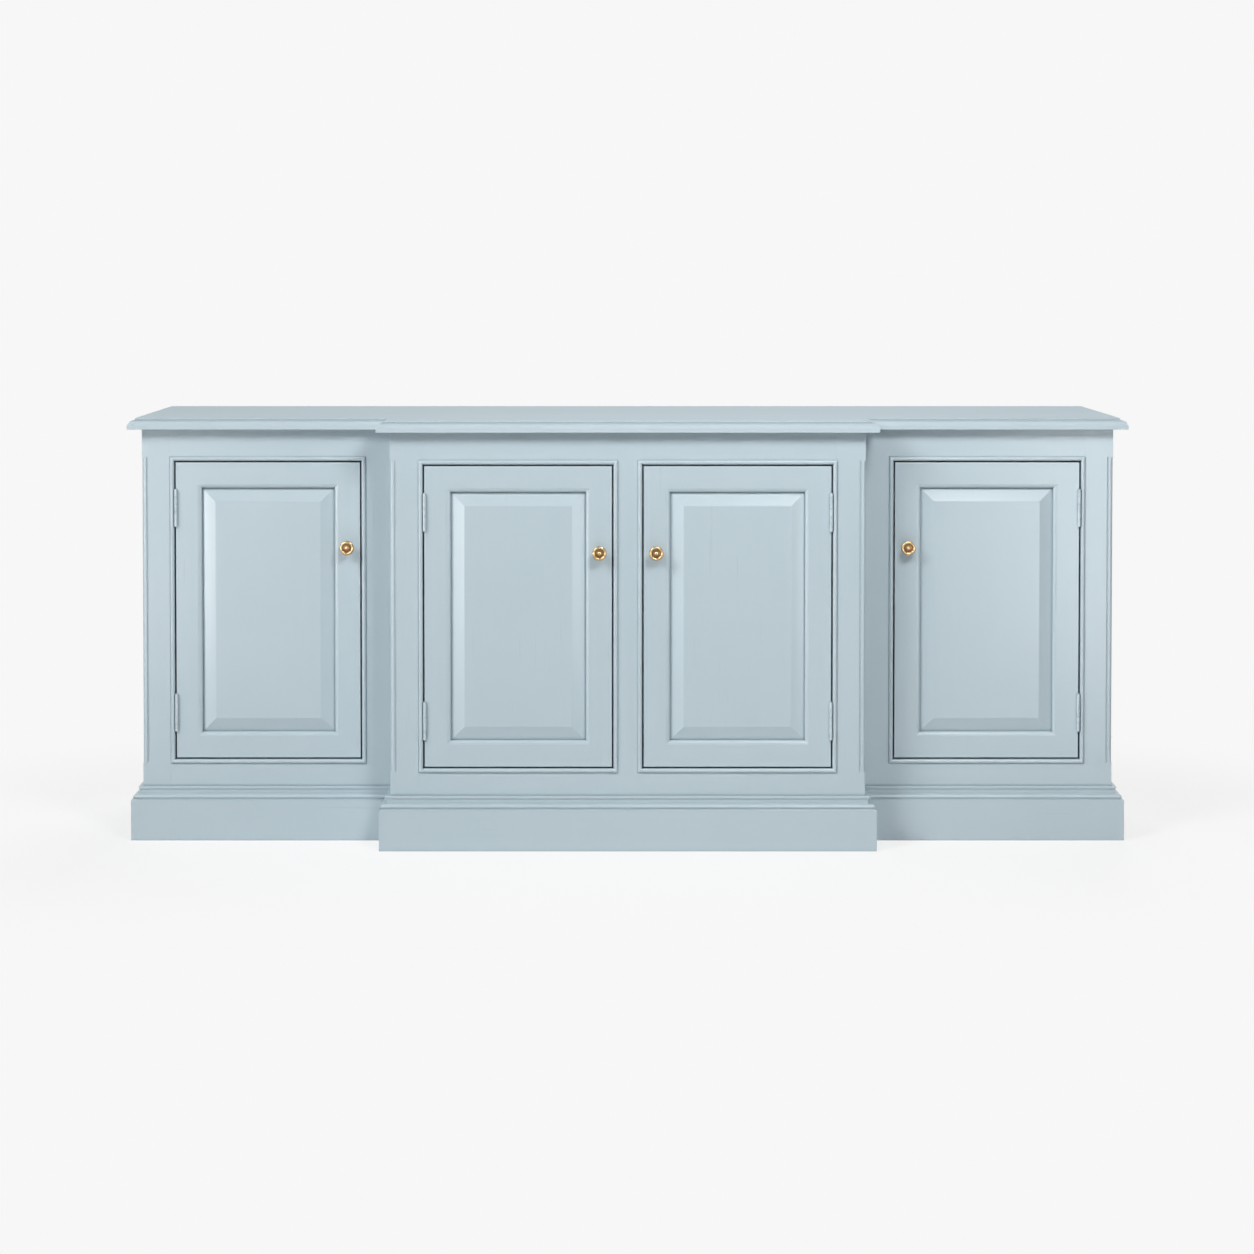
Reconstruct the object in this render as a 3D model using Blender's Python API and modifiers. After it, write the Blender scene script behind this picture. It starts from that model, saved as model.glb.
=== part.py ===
"""A painted breakfront credenza with four inset doors, in metres, +Z up.

The front faces -Y, and the origin lies on the floor under the middle of the piece.
The centre section stands forward of its two wings, and one moulded top and one moulded plinth
follow that outline. Each door is a framed raised panel on two butt hinges inside a cock bead.
"""

import math

import bmesh
import bpy

# Fits
SEAT = 0.0003
RUN = 0.0003
ARRIS = 0.0008

# Doors, all four alike
DOOR_WIDTH = 0.376
DOOR_HEIGHT = 0.605
DOOR_THICKNESS = 0.020
DOOR_GAP = 0.003
DOOR_MEMBER = 0.0545
STICKING_WIDTH = 0.006
STICKING_DEPTH = 0.006
STICKING_QUIRK = 0.001

# Raised panel of a door, held loose in a groove
FIELD_SETBACK = 0.001
BEVEL_WIDTH = 0.025
BEVEL_RISE = 0.009
PANEL_MARGIN = 0.0015
TONGUE_THICKNESS = 0.0065
TONGUE_REACH = 0.008
TONGUE_PLAY = 0.001

# Knobs
KNOB_DIAMETER = 0.029
KNOB_PROJECTION = 0.024
KNOB_RIM = 0.0030
KNOB_DISH_DEPTH = 0.0030
KNOB_DOME_DIAMETER = 0.0080
KNOB_HEAD_HEIGHT = 0.0100
KNOB_NECK_DIAMETER = 0.0115
KNOB_ROSE_DIAMETER = 0.0190
KNOB_ROSE_HEIGHT = 0.0030
KNOB_INSET = 0.025
KNOB_DROP = 0.173

# Butt hinges
HINGE_LENGTH = 0.0762
HINGE_INSET = 0.0547
KNUCKLES = 5
KNUCKLE_DIAMETER = 0.0066
PIN_DIAMETER = 0.0030
PIN_HEAD_DIAMETER = 0.0050
PIN_HEAD_HEIGHT = 0.0010
LEAF_DEPTH = 0.0165
LEAF_PLAY = 0.0004

# Magnetic door catches
CATCH_HEIGHT = 0.045
CATCH_DEPTH = 0.012
CATCH_OVERLAP = 0.013
CATCH_SPACING = 0.0015
CATCH_STOP_GAP = 0.0006
CATCH_DROP = 0.060

# Cock bead round each door
BEAD_WIDTH = 0.009
BEAD_PROUD = 0.0045

# Face frames
FRAME_THICKNESS = 0.022
STILE_FACE = 0.0565
MULLION_FACE = 0.039
TOP_RAIL_FACE = 0.0559
SILL_HEIGHT = 0.1532
FRAME_FOOT = 0.060

# Stopped bead worked on the outer corners of the face frames
CORNER_ROUND = 0.006
QUIRK_INSET = 0.0105
QUIRK_WIDTH = 0.0024

# Carcass
WING_DEPTH = 0.3915
BREAK = 0.091
BOARD = 0.018
BACK_THICKNESS = 0.006
HOUSING = 0.005
FLOOR_DROP = 0.003
SHELF_HEIGHT = 0.470
SHELF_SETBACK = 0.030

# Top
TOP_THICKNESS = 0.023
TOP_OVERHANG = 0.0255
TOP_OVOLO_HEIGHT = 0.0100
TOP_FILLET_HEIGHT = 0.0033
TOP_FILLET_INSET = 0.0145
TOP_LEDGE = 0.0015

# Plinth
PLINTH_PROUD = 0.0215
PLINTH_FACE_HEIGHT = 0.0825
PLINTH_COVE_HEIGHT = 0.0067
PLINTH_NOSE_HEIGHT = 0.0012
PLINTH_NOSE_PROUD = 0.0145
PLINTH_LEDGE_RISE = 0.0012
PLINTH_OVOLO_PROUD = 0.0105
PLINTH_OVOLO_STEM = 0.0016
PLINTH_OVOLO_HEIGHT = 0.0062
PLINTH_CAP_PROUD = 0.0055
PLINTH_CAP_HEIGHT = 0.0068
PLINTH_CAP_LIP = 0.0006

# Facets
ARC_STEPS = 5
BEAD_STEPS = 6
KNUCKLE_STEPS = 14
BORE_SIDES = 10
PIN_STEPS = 10
KNOB_STEPS = 20
QUIRK_SIDES = 8
SMOOTH_BELOW = math.radians(35)

# Sizes that follow from the doors
bead_outer_width = DOOR_WIDTH + 2 * (DOOR_GAP + BEAD_WIDTH)
bead_outer_height = DOOR_HEIGHT + 2 * (DOOR_GAP + BEAD_WIDTH)
opening_width = bead_outer_width + 2 * SEAT
opening_height = bead_outer_height + 2 * SEAT
half_centre = MULLION_FACE / 2 + opening_width + STILE_FACE
wing_inner = half_centre + SEAT
half_total = wing_inner + 2 * STILE_FACE + opening_width
head_height = SILL_HEIGHT + opening_height
carcass_top = head_height + TOP_RAIL_FACE
door_foot = SILL_HEIGHT + SEAT + BEAD_WIDTH + DOOR_GAP
door_middle = door_foot + DOOR_HEIGHT / 2
door_head = door_foot + DOOR_HEIGHT

# Planes from back to front
back_plane = (WING_DEPTH + BREAK + TOP_OVERHANG) / 2
back_inside = back_plane - BACK_THICKNESS
wing_face = back_plane - WING_DEPTH
centre_face = wing_face - BREAK
wing_behind = wing_face + FRAME_THICKNESS
centre_behind = centre_face + FRAME_THICKNESS

# Heights inside
floor_top = SILL_HEIGHT - FLOOR_DROP
floor_under = floor_top - BOARD
shelf_under = SHELF_HEIGHT - BOARD

# Hinge axis, seen from the bead's inner edge and from the face of the frame
knuckle_radius = KNUCKLE_DIAMETER / 2
axis_from_bead = knuckle_radius + RUN
axis_in_door = axis_from_bead - DOOR_GAP
leaf_thickness = (DOOR_GAP - 2 * SEAT - LEAF_PLAY) / 2

# Door name, middle of its opening, plane of its face, and the side that its hinges are on
wing_middle = wing_inner + STILE_FACE + opening_width / 2
centre_middle = (MULLION_FACE + opening_width) / 2
DOORS = (
    ("left", -wing_middle, wing_face, -1),
    ("centre_left", -centre_middle, centre_face, -1),
    ("centre_right", centre_middle, centre_face, 1),
    ("right", wing_middle, wing_face, 1),
)
SIDES = ((-1, "left"), (1, "right"))


def clear_scene():
    for obj in list(bpy.data.objects):
        bpy.data.objects.remove(obj)


def new_collection(name):
    collection = bpy.data.collections.new(name)
    bpy.context.scene.collection.children.link(collection)
    return collection


def new_material(name, colour, roughness, metallic=0.0):
    material = bpy.data.materials.new(name)
    material.use_nodes = True
    shader = material.node_tree.nodes["Principled BSDF"]
    shader.inputs["Base Color"].default_value = (*colour, 1.0)
    shader.inputs["Roughness"].default_value = roughness
    shader.inputs["Metallic"].default_value = metallic
    return material


clear_scene()
PARTS = new_collection("credenza")
CUTTERS = new_collection("cutters")
PAINT = new_material("pale_blue_paint", (0.49, 0.60, 0.66), 0.42)
HINGE_PAINT = new_material("painted_steel", (0.47, 0.58, 0.64), 0.38)
BRASS = new_material("brass", (0.75, 0.53, 0.24), 0.28, 1.0)
STEEL = new_material("pin_steel", (0.55, 0.56, 0.57), 0.35, 1.0)
CATCH_WHITE = new_material("white_plastic", (0.80, 0.80, 0.78), 0.45)


# Mesh helpers


def add_loft(bm, rings, closed=False):
    """A solid through rings of points, joined end to end where closed and capped where not."""
    loops = [[bm.verts.new(point) for point in ring] for ring in rings]
    following = loops[1:] + loops[:1] if closed else loops[1:]
    for near, far in zip(loops, following):
        for i, vertex in enumerate(near):
            bm.faces.new((near[i - 1], vertex, far[i], far[i - 1]))
    if not closed:
        bm.faces.new(loops[0])
        bm.faces.new(loops[-1])


def add_prism(bm, outline, low, high):
    """An upright prism on an outline of (x, y) points."""
    add_loft(bm, [[(x, y, level) for x, y in outline] for level in (low, high)])


def add_box(bm, low, high):
    outline = ((low[0], low[1]), (high[0], low[1]), (high[0], high[1]), (low[0], high[1]))
    add_prism(bm, outline, low[2], high[2])


def add_upright_cylinder(bm, x, y, radius, low, high, sides):
    turns = [2 * math.pi * i / sides for i in range(sides)]
    outline = [(x + radius * math.cos(turn), y + radius * math.sin(turn)) for turn in turns]
    add_prism(bm, outline, low, high)


def arc(centre, radii, start, end, steps=ARC_STEPS):
    """Points on an elliptical arc, with its angles in degrees and both ends included."""
    turns = [math.radians(start + (end - start) * i / steps) for i in range(steps + 1)]
    return [
        (centre[0] + radii[0] * math.cos(turn), centre[1] + radii[1] * math.sin(turn))
        for turn in turns
    ]


def new_mesh(name, bm):
    bmesh.ops.recalc_face_normals(bm, faces=bm.faces)
    mesh = bpy.data.meshes.new(name)
    bm.to_mesh(mesh)
    bm.free()
    mesh.shade_smooth()
    mesh.set_sharp_from_angle(angle=SMOOTH_BELOW)
    return mesh


def new_part(name, mesh, material, place=(0, 0, 0), parent=None):
    if not mesh.materials:
        mesh.materials.append(material)
    part = bpy.data.objects.new(name, mesh)
    part.location = place
    part.parent = parent
    PARTS.objects.link(part)
    return part


def new_cutter(name, bm):
    cutter = bpy.data.objects.new(name, new_mesh(name, bm))
    cutter.hide_render = True
    cutter.display_type = "WIRE"
    CUTTERS.objects.link(cutter)
    return cutter


def cut(part, cutter):
    modifier = part.modifiers.new(cutter.name, "BOOLEAN")
    modifier.operation = "DIFFERENCE"
    modifier.solver = "EXACT"
    modifier.object = cutter


def soften(part):
    """Breaks the sharp arrises of a board."""
    modifier = part.modifiers.new("arris", "BEVEL")
    modifier.width = ARRIS
    modifier.segments = 1
    modifier.limit_method = "ANGLE"


def board(name, low, high, material=None):
    """A sawn board between two corners, with its origin at its middle."""
    middle = [(a + b) / 2 for a, b in zip(low, high)]
    half = [(b - a) / 2 for a, b in zip(low, high)]
    bm = bmesh.new()
    add_box(bm, [-length for length in half], half)
    part = new_part(name, new_mesh(name, bm), material or PAINT, middle)
    soften(part)
    return part


def turned(name, profile, steps, material, place, parent=None):
    """A turned piece from a profile of (radius, height) points that runs from top to bottom."""
    mesh = bpy.data.meshes.new(name)
    edges = [(i, i + 1) for i in range(len(profile) - 1)]
    mesh.from_pydata([(radius, 0, height) for radius, height in profile], edges, [])
    part = new_part(name, mesh, material, place, parent)
    screw = part.modifiers.new("turning", "SCREW")
    screw.axis = "Z"
    screw.steps = steps
    screw.render_steps = steps
    screw.use_merge_vertices = True
    screw.merge_threshold = 0.00001
    screw.use_smooth_shade = True
    return part


def rectangle_rings(width, height, section):
    """A section of (inset, depth) points set out at the four mitres of an upright rectangle."""
    corners = ((-1, -1), (1, -1), (1, 1), (-1, 1))
    return [
        [(sx * (width / 2 - inset), depth, sz * (height / 2 - inset)) for inset, depth in section]
        for sx, sz in corners
    ]


def breakfront(offset):
    """Corners of the carcass outline moved out by an offset, from the back left to the back right."""
    left = (
        (-half_total - offset, back_plane),
        (-half_total - offset, wing_face - offset),
        (-half_centre - offset, wing_face - offset),
        (-half_centre - offset, centre_face - offset),
    )
    return left + tuple((-x, y) for x, y in reversed(left))


# Carcass


def make_top():
    """The top, an ovolo between two fillets along its front and ends."""
    nosing = TOP_THICKNESS - TOP_OVOLO_HEIGHT - TOP_FILLET_HEIGHT
    fillet = TOP_OVERHANG - TOP_FILLET_INSET
    ovolo = (TOP_FILLET_INSET - TOP_LEDGE, TOP_OVOLO_HEIGHT)
    profile = [(TOP_OVERHANG - ARRIS, 0), (TOP_OVERHANG, ARRIS), (TOP_OVERHANG, nosing)]
    profile += arc((fillet, nosing), ovolo, 0, 90)
    profile += [(fillet, TOP_THICKNESS - ARRIS), (fillet - ARRIS, TOP_THICKNESS)]
    bm = bmesh.new()
    add_loft(bm, [[(x, y, z) for x, y in breakfront(offset)] for offset, z in profile])
    new_part("top", new_mesh("top", bm), PAINT, (0, 0, carcass_top + SEAT))


def make_plinth():
    """The plinth, a mitred skirting: a plain face under a cove, an ovolo and a smaller cove."""
    lip = PLINTH_PROUD - ARRIS
    cove_head = PLINTH_FACE_HEIGHT + ARRIS + PLINTH_COVE_HEIGHT
    nose_head = cove_head + PLINTH_NOSE_HEIGHT
    ledge = nose_head + PLINTH_LEDGE_RISE
    ovolo_foot = ledge + PLINTH_OVOLO_STEM
    cap_foot = ovolo_foot + PLINTH_OVOLO_HEIGHT
    cap_head = cap_foot + ARRIS + PLINTH_CAP_HEIGHT
    ovolo_head = PLINTH_CAP_PROUD + ARRIS
    cap_edge = SEAT + PLINTH_CAP_LIP
    lower_cove = (lip - PLINTH_NOSE_PROUD, PLINTH_COVE_HEIGHT)
    ovolo = (PLINTH_OVOLO_PROUD - ovolo_head, PLINTH_OVOLO_HEIGHT)
    upper_cove = (PLINTH_CAP_PROUD - cap_edge, PLINTH_CAP_HEIGHT)
    section = [(SEAT, 0), (PLINTH_PROUD, 0), (PLINTH_PROUD, PLINTH_FACE_HEIGHT)]
    section += arc((lip, cove_head), lower_cove, 270, 180)
    section += [(PLINTH_NOSE_PROUD, nose_head), (PLINTH_OVOLO_PROUD, ledge)]
    section += arc((ovolo_head, ovolo_foot), ovolo, 0, 90)
    section += [(PLINTH_CAP_PROUD, cap_foot)]
    section += arc((PLINTH_CAP_PROUD, cap_head), upper_cove, 270, 180)
    section += [(SEAT, cap_head)]
    corners = range(len(breakfront(0)))
    rings = [[(*breakfront(offset)[k], z) for offset, z in section] for k in corners]
    bm = bmesh.new()
    add_loft(bm, rings)
    new_part("plinth", new_mesh("plinth", bm), PAINT)


def housings(name, face, inward, front, shelf_front):
    """Grooves in an upright for the floor board and the shelf, cut inward from one of its faces."""
    bm = bmesh.new()
    past = face - inward * HOUSING
    near, far = sorted((past, face + inward * HOUSING))
    behind = back_plane + HOUSING
    for low, high, start in (
        (floor_under, floor_top, front),
        (shelf_under, SHELF_HEIGHT, shelf_front),
    ):
        add_box(bm, (near, start - SEAT, low - SEAT), (far, behind, high + SEAT))
    return new_cutter(name, bm)


def make_uprights():
    """Two ends and two partitions that stand on the floor, grooved for the boards between them."""
    wing_shelf = wing_behind + SHELF_SETBACK
    centre_shelf = centre_behind + SHELF_SETBACK
    for side, word in SIDES:
        end_face = side * (half_total - BOARD)
        near, far = sorted((end_face, side * half_total))
        end = board(f"end_{word}", (near, wing_behind + SEAT, 0), (far, back_plane, carcass_top))
        grooves = housings(f"end_grooves_{word}", end_face, side, wing_behind - HOUSING, wing_shelf)
        cut(end, grooves)
        outer, inner = side * half_centre, side * (half_centre - BOARD)
        near, far = sorted((outer, inner))
        low = (near, centre_behind + SEAT, 0)
        partition = board(f"partition_{word}", low, (far, back_inside - SEAT, carcass_top))
        grooves = housings(f"wing_grooves_{word}", outer, -side, wing_behind, wing_shelf)
        cut(partition, grooves)
        front = centre_behind - HOUSING
        cut(partition, housings(f"centre_grooves_{word}", inner, side, front, centre_shelf))


def make_boards():
    """Floor boards and shelves, housed in the uprights, and the back panel."""
    reach = HOUSING - SEAT
    wing_span = (half_centre - reach, half_total - BOARD + reach)
    centre_span = (BOARD - half_centre - reach, half_centre - BOARD + reach)
    bays = (
        ("left", (-wing_span[1], -wing_span[0]), wing_behind),
        ("centre", centre_span, centre_behind),
        ("right", wing_span, wing_behind),
    )
    behind = back_inside - SEAT
    for word, (near, far), front in bays:
        board(f"floor_{word}", (near, front + SEAT, floor_under), (far, behind, floor_top))
        shelf_front = front + SHELF_SETBACK
        board(f"shelf_{word}", (near, shelf_front, shelf_under), (far, behind, SHELF_HEIGHT))
    width = half_total - BOARD - SEAT
    low = (-width, back_inside, floor_under)
    board("back_panel", low, (width, back_plane, carcass_top))


def add_corner_bead(bm, x, y, side):
    """Cuts that leave a stopped bead on an outer corner: a round, and a quirk on each face of it."""
    low, high = SILL_HEIGHT, head_height
    spare = CORNER_ROUND
    radii = (CORNER_ROUND, CORNER_ROUND)
    outline = [(-spare, CORNER_ROUND), (-spare, -spare), (CORNER_ROUND, -spare)]
    outline += arc((CORNER_ROUND, CORNER_ROUND), radii, 270, 180)
    add_prism(bm, [(x - side * inset, y + depth) for inset, depth in outline], low, high)
    for inset, depth in ((QUIRK_INSET, 0), (0, QUIRK_INSET)):
        place = (x - side * inset, y + depth)
        add_upright_cylinder(bm, *place, QUIRK_WIDTH / 2, low, high, QUIRK_SIDES)


def make_face_frame(word, low, high, face, middles, corners):
    """A face frame with a door opening at each middle and a stopped bead at each listed corner."""
    bm = bmesh.new()
    behind = face + FRAME_THICKNESS
    add_box(bm, (low, face, FRAME_FOOT), (high, behind, carcass_top))
    frame = new_part(f"face_frame_{word}", new_mesh("face_frame", bm), PAINT)
    bm = bmesh.new()
    for middle in middles:
        near, far = middle - opening_width / 2, middle + opening_width / 2
        front, past = face - FRAME_THICKNESS, behind + FRAME_THICKNESS
        add_box(bm, (near, front, SILL_HEIGHT), (far, past, head_height))
    for x, side in corners:
        add_corner_bead(bm, x, face, side)
    cut(frame, new_cutter(f"face_frame_cuts_{word}", bm))


def make_face_frames():
    for side, word in SIDES:
        low, high = sorted((side * wing_inner, side * half_total))
        corner = (side * half_total, side)
        make_face_frame(word, low, high, wing_face, (side * wing_middle,), (corner,))
    corners = ((-half_centre, -1), (half_centre, 1))
    middles = (-centre_middle, centre_middle)
    make_face_frame("centre", -half_centre, half_centre, centre_face, middles, corners)


def make_bead(word, middle, face):
    """The mitred cock bead that lines a door opening and stands proud of the frame."""
    half = BEAD_WIDTH / 2
    section = arc((half, 0), (half, BEAD_PROUD), 180, 360, BEAD_STEPS)
    section += [(BEAD_WIDTH, FRAME_THICKNESS), (0, FRAME_THICKNESS)]
    bm = bmesh.new()
    add_loft(bm, rectangle_rings(bead_outer_width, bead_outer_height, section), closed=True)
    new_part(f"cock_bead_{word}", new_mesh("cock_bead", bm), PAINT, (middle, face, door_middle))


def make_catch(word, middle, face, hinge_side):
    """A magnetic catch behind the frame on the knob's side, whose nose stops the closed door."""
    free = -hinge_side
    edge = DOOR_WIDTH / 2 + DOOR_GAP
    stop = DOOR_THICKNESS + CATCH_STOP_GAP
    base = FRAME_THICKNESS + SEAT
    back = base + CATCH_DEPTH
    outer = edge + BEAD_WIDTH + SEAT + MULLION_FACE / 2 - CATCH_SPACING
    inner = edge - DOOR_GAP - CATCH_OVERLAP
    nose = edge - DOOR_GAP - SEAT
    outline = ((outer, base), (nose, base), (nose, stop), (inner, stop), (inner, back), (outer, back))
    bm = bmesh.new()
    add_prism(bm, [(free * x, y) for x, y in outline], -CATCH_HEIGHT / 2, CATCH_HEIGHT / 2)
    place = (middle, face, door_head - CATCH_DROP)
    soften(new_part(f"catch_{word}", new_mesh("catch", bm), CATCH_WHITE, place))


# Doors


def make_door_frame(word, place, parent):
    """Stiles and rails with a moulded inner edge and the groove that holds the panel."""
    margin = FIELD_SETBACK + BEVEL_RISE
    groove = DOOR_MEMBER - TONGUE_REACH - TONGUE_PLAY
    groove_front, groove_back = margin - SEAT, margin + TONGUE_THICKNESS + SEAT
    shoulder = DOOR_MEMBER - STICKING_WIDTH
    ovolo = (STICKING_WIDTH, STICKING_DEPTH - STICKING_QUIRK)
    section = [(0, ARRIS), (ARRIS, 0), (shoulder, 0)]
    section += arc((shoulder, STICKING_DEPTH), ovolo, 270, 360)
    section += [(DOOR_MEMBER, groove_front), (groove, groove_front)]
    section += [(groove, groove_back), (DOOR_MEMBER, groove_back)]
    section += [(DOOR_MEMBER, DOOR_THICKNESS), (ARRIS, DOOR_THICKNESS)]
    section += [(0, DOOR_THICKNESS - ARRIS)]
    bm = bmesh.new()
    add_loft(bm, rectangle_rings(DOOR_WIDTH, DOOR_HEIGHT, section), closed=True)
    new_part(f"door_{word}_frame", new_mesh("door_frame", bm), PAINT, place, parent)


def make_door_panel(word, place, parent):
    """A raised panel: a tongue all round, a flat margin, a wide bevel and a flat field."""
    margin = FIELD_SETBACK + BEVEL_RISE
    tongue = DOOR_MEMBER - TONGUE_REACH
    foot = DOOR_MEMBER + PANEL_MARGIN
    levels = (
        (tongue, margin + TONGUE_THICKNESS),
        (tongue, margin),
        (foot, margin),
        (foot + BEVEL_WIDTH, FIELD_SETBACK),
    )
    rings = []
    for inset, depth in levels:
        mitres = rectangle_rings(DOOR_WIDTH, DOOR_HEIGHT, [(inset, depth)])
        rings.append([ring[0] for ring in mitres])
    bm = bmesh.new()
    add_loft(bm, rings)
    new_part(f"door_{word}_panel", new_mesh("door_panel", bm), PAINT, place, parent)


def make_knob(word, place, parent):
    """A turned brass knob: a domed middle in a dish inside a round rim, on a neck and a rose."""
    radius = KNOB_DIAMETER / 2
    rim_middle = (radius - KNOB_RIM, KNOB_PROJECTION - KNOB_RIM)
    dome = KNOB_DOME_DIAMETER / 2
    dish = KNOB_PROJECTION - KNOB_DISH_DEPTH
    neck = KNOB_NECK_DIAMETER / 2
    rose = KNOB_ROSE_DIAMETER / 2
    head_foot = KNOB_PROJECTION - KNOB_HEAD_HEIGHT
    bell_top = rim_middle[1] - KNOB_RIM / 2
    bell = (rim_middle[0] - neck, bell_top - head_foot)
    waist = (rose - neck, head_foot - KNOB_ROSE_HEIGHT)
    profile = arc((0, dish), (dome, dome / 2), 90, 0, ARC_STEPS - 1)
    profile += arc(rim_middle, (KNOB_RIM, KNOB_RIM), 200, -20, 2 * ARC_STEPS)
    profile += arc((neck, bell_top), bell, -20, -90)
    profile += arc((rose, head_foot), waist, 180, 270)[1:]
    profile += [(rose, 0), (0, 0)]
    profile[0] = (0, profile[0][1])
    knob = turned(f"door_{word}_knob", profile, KNOB_STEPS, BRASS, place, parent)
    knob.rotation_euler = (math.pi / 2, 0, 0)


# Hinges


def leaf_outline(low, high, sign):
    """A leaf in plan about its axis: a barrel with a plate that leaves it towards the back."""
    start = math.acos(max(low / knuckle_radius, -1))
    end = 2 * math.pi + math.acos(high / knuckle_radius)
    turns = [start + (end - start) * i / KNUCKLE_STEPS for i in range(KNUCKLE_STEPS + 1)]
    outline = [(knuckle_radius * math.cos(a), knuckle_radius * math.sin(a)) for a in turns]
    tail = axis_from_bead + LEAF_DEPTH
    outline += [(high, tail), (low, tail)]
    return [(sign * u, v) for u, v in outline]


def leaf_mesh(name, low, high, hinge_side, first_gap):
    """A leaf with every second knuckle cut away and a bore for the pin."""
    half = HINGE_LENGTH / 2
    pitch = HINGE_LENGTH / KNUCKLES
    bm = bmesh.new()
    add_prism(bm, leaf_outline(low, high, -hinge_side), -half, half)
    blank = new_part(name, new_mesh(name, bm), HINGE_PAINT)
    gaps = bmesh.new()
    for k in range(first_gap, KNUCKLES, 2):
        foot = k * pitch - half - RUN / 2
        head = foot + pitch + RUN
        foot -= pitch if k == 0 else 0
        head += pitch if k == KNUCKLES - 1 else 0
        add_upright_cylinder(gaps, 0, 0, axis_from_bead + RUN, foot, head, KNUCKLE_STEPS)
    bore = bmesh.new()
    radius = PIN_DIAMETER / 2 + RUN
    add_upright_cylinder(bore, 0, 0, radius, -HINGE_LENGTH, HINGE_LENGTH, BORE_SIDES)
    cutters = (new_cutter("knuckle_gaps", gaps), new_cutter("pin_bore", bore))
    for cutter in cutters:
        cut(blank, cutter)
    graph = bpy.context.evaluated_depsgraph_get()
    finished = bpy.data.meshes.new_from_object(blank.evaluated_get(graph))
    for used in (blank, *cutters):
        bpy.data.objects.remove(used)
    return finished


def make_leaf_meshes():
    """The two leaves of a hinge, by the side of the door that it is on."""
    bead_face = -axis_from_bead + SEAT
    door_face = -axis_in_door - SEAT
    meshes = {}
    for side, word in SIDES:
        frame_leaf = leaf_mesh(f"frame_leaf_{word}", bead_face, bead_face + leaf_thickness, side, 1)
        door_leaf = leaf_mesh(f"door_leaf_{word}", door_face - leaf_thickness, door_face, side, 0)
        meshes[side] = (frame_leaf, door_leaf)
    return meshes


def make_pin(name, place):
    """A hinge pin with a domed head at each end of the barrel."""
    half = HINGE_LENGTH / 2 + RUN
    shank, head = PIN_DIAMETER / 2, PIN_HEAD_DIAMETER / 2
    crown = arc((0, half), (head, PIN_HEAD_HEIGHT), 90, 0, 3)
    crown[0] = (0, crown[0][1])
    upper = crown + [(shank, half)]
    lower = [(radius, -height) for radius, height in reversed(upper)]
    turned(name, upper + lower, PIN_STEPS, STEEL, place)


def make_hinges(word, axis, hinge_side, leaves, parent):
    """Two butt hinges: a leaf and a pin on the bead, and a leaf that moves with the door."""
    frame_leaf, door_leaf = leaves[hinge_side]
    from_end = HINGE_INSET + HINGE_LENGTH / 2
    for level, height in (("lower", from_end), ("upper", DOOR_HEIGHT - from_end)):
        name = f"hinge_{word}_{level}"
        place = (axis[0], axis[1], door_foot + height)
        new_part(f"{name}_frame_leaf", frame_leaf, HINGE_PAINT, place)
        new_part(f"{name}_door_leaf", door_leaf, HINGE_PAINT, (0, 0, height), parent)
        make_pin(f"{name}_pin", place)


def make_door(word, middle, face, hinge_side, leaves):
    """A door and its hinges, placed from the hinge axis that it swings on."""
    axis = (middle + hinge_side * (DOOR_WIDTH / 2 - axis_in_door), face - axis_from_bead)
    swing = bpy.data.objects.new(f"door_{word}_axis", None)
    swing.location = (axis[0], axis[1], door_foot)
    PARTS.objects.link(swing)
    across = middle - axis[0]
    place = (across, axis_from_bead, DOOR_HEIGHT / 2)
    make_door_frame(word, place, swing)
    make_door_panel(word, place, swing)
    knob_across = across - hinge_side * (DOOR_WIDTH / 2 - KNOB_INSET)
    knob_place = (knob_across, axis_from_bead - SEAT, DOOR_HEIGHT - KNOB_DROP)
    make_knob(word, knob_place, swing)
    make_hinges(word, axis, hinge_side, leaves, swing)


make_top()
make_plinth()
make_uprights()
make_boards()
make_face_frames()
leaf_meshes = make_leaf_meshes()
for door_word, door_x, door_face_plane, door_hinges in DOORS:
    make_bead(door_word, door_x, door_face_plane)
    make_catch(door_word, door_x, door_face_plane, door_hinges)
    make_door(door_word, door_x, door_face_plane, door_hinges, leaf_meshes)
bpy.context.view_layer.update()
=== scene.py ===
"""Looks of the breakfront credenza: satin paint, turned brass, fittings, studio and camera."""

import math

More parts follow.
